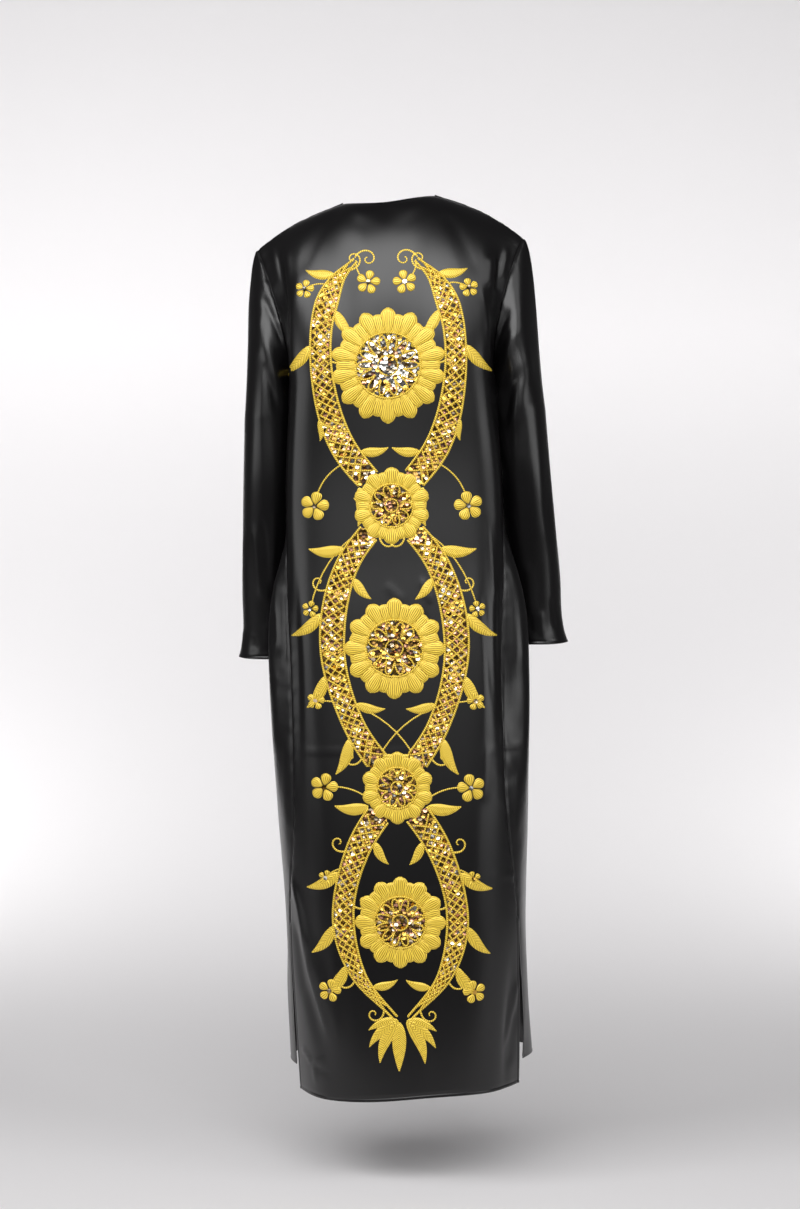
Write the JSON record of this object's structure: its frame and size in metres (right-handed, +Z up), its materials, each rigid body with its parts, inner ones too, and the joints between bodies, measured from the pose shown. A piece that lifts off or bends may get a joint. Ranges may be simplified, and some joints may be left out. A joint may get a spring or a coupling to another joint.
{
  "type": "duster coat",
  "caption": "Ankle-length collarless open-front duster coat in black satin, with long sleeves, side slits and gold flower embroidery down the back.",
  "frame": {"origin": "midway between the neck ends of the two shoulder seams, where the wearer's shoulders carry the coat", "axes": "+Z up along the standing coat, +Y out of its back, -Y out of its open front, +X to the wearer's left"},
  "size_m": [0.5246, 0.288, 1.3983],
  "materials": {
    "satin": "black duchess satin, soft sheen",
    "gold_embroidery": "gold thread satin stitch with pale gold sequins"
  },
  "bodies": {
    "root": {"back": "satin", "front_left": "satin", "front_right": "satin", "sleeve_left": "satin", "sleeve_right": "satin", "blossom_1": "gold_embroidery", "blossom_2": "gold_embroidery", "blossom_3": "gold_embroidery", "blossom_4": "gold_embroidery", "blossom_5": "gold_embroidery"}
  },
  "joints": []
}
